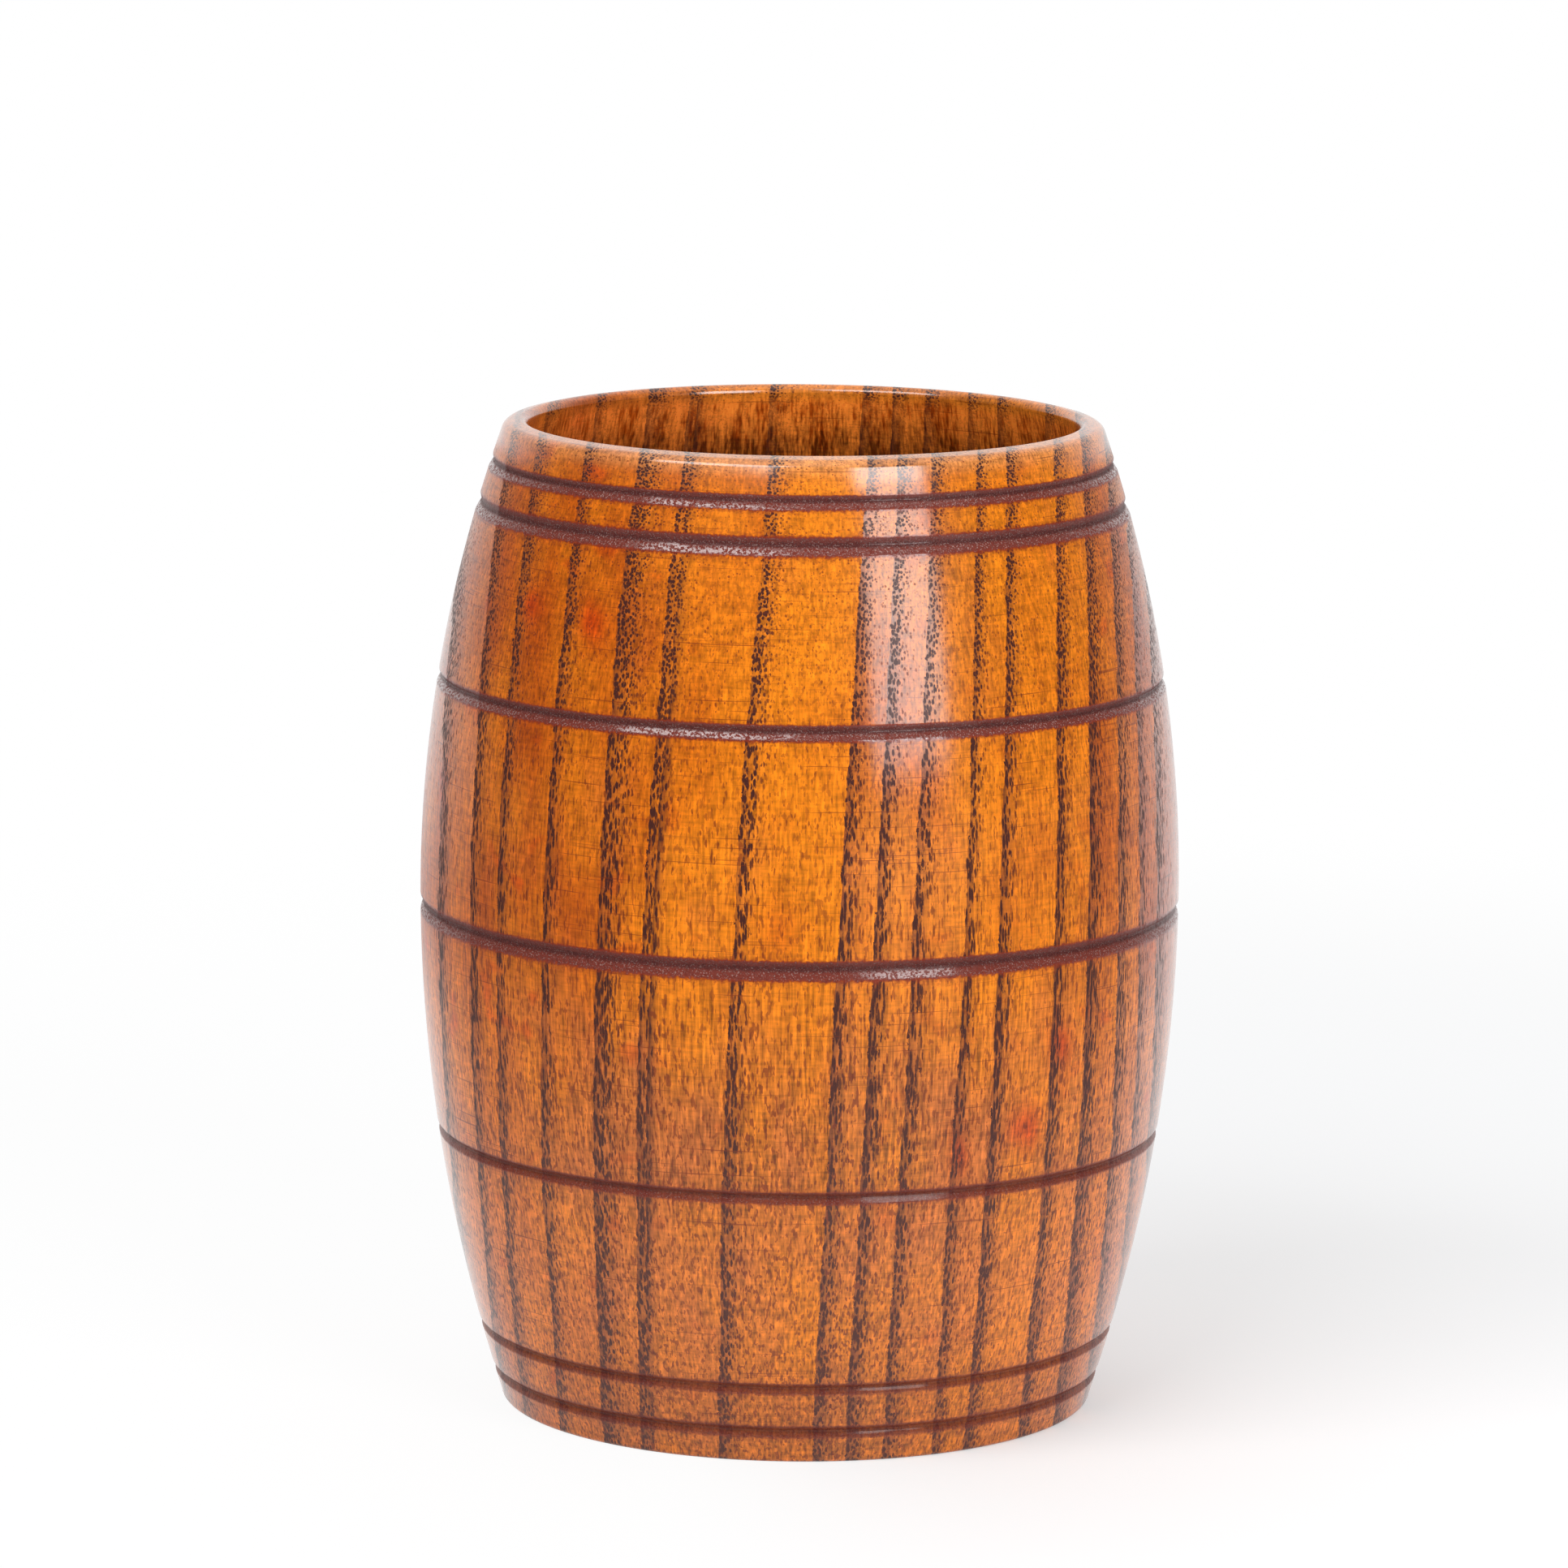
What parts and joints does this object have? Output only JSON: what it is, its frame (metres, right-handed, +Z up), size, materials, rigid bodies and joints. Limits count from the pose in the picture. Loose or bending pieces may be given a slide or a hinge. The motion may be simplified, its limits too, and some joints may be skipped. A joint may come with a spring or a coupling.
{
  "type": "wooden mug",
  "caption": "Barrel-shaped turned wooden mug without a handle, with a narrower mouth and foot and burnt grooves round its wall, for drinking.",
  "frame": {"origin": "middle of the foot, on the surface that the mug stands on", "axes": "+Z up along the turning axis, towards the mouth; the growth rings of the wood lie across X"},
  "size_m": [0.0804, 0.0804, 0.105],
  "materials": {
    "wall_wood": "satin lacquer over upright grain, grooves burnt dark",
    "bottom_wood": "satin lacquer over cross grain"
  },
  "bodies": {
    "root": {"mug_body": "wall_wood", "bottom_disc": "bottom_wood"}
  },
  "joints": []
}
